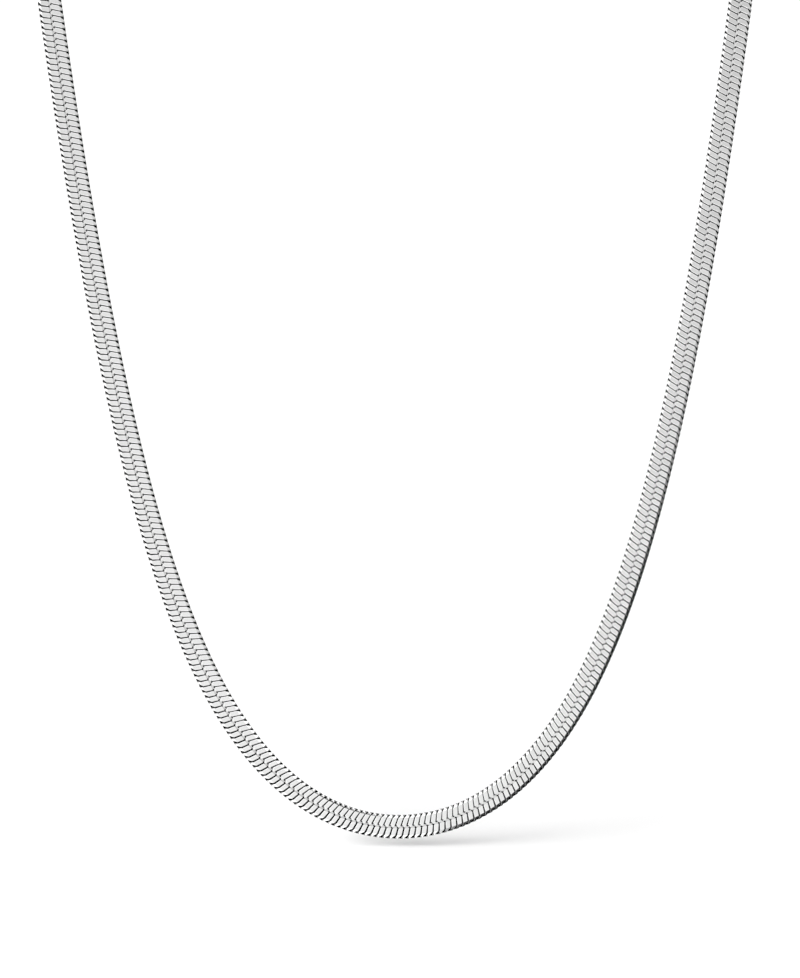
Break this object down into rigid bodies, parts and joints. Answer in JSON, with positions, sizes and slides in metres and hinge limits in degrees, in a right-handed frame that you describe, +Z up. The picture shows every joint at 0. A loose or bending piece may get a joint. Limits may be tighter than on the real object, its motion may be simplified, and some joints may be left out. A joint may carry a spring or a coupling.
{
  "type": "herringbone chain necklace",
  "caption": "Flat woven silver herringbone chain, hanging as an open loop for a neck and closed at the nape by a plain clasp between jump rings and end caps.",
  "frame": {"origin": "inner face of the clasp, where the necklace sits on the nape", "axes": "+Z up, the wearer faces -Y, +X to the right of someone who looks at the front"},
  "size_m": [0.12, 0.0809, 0.1607],
  "materials": {
    "silver_links": "polished silver, pressed flat",
    "silver_fittings": "polished silver"
  },
  "bodies": {
    "root": {"chain": "silver_links", "end_cap_left": "silver_fittings", "end_cap_right": "silver_fittings", "jump_ring_left": "silver_fittings", "jump_ring_right": "silver_fittings", "clasp": "silver_fittings"}
  },
  "joints": []
}
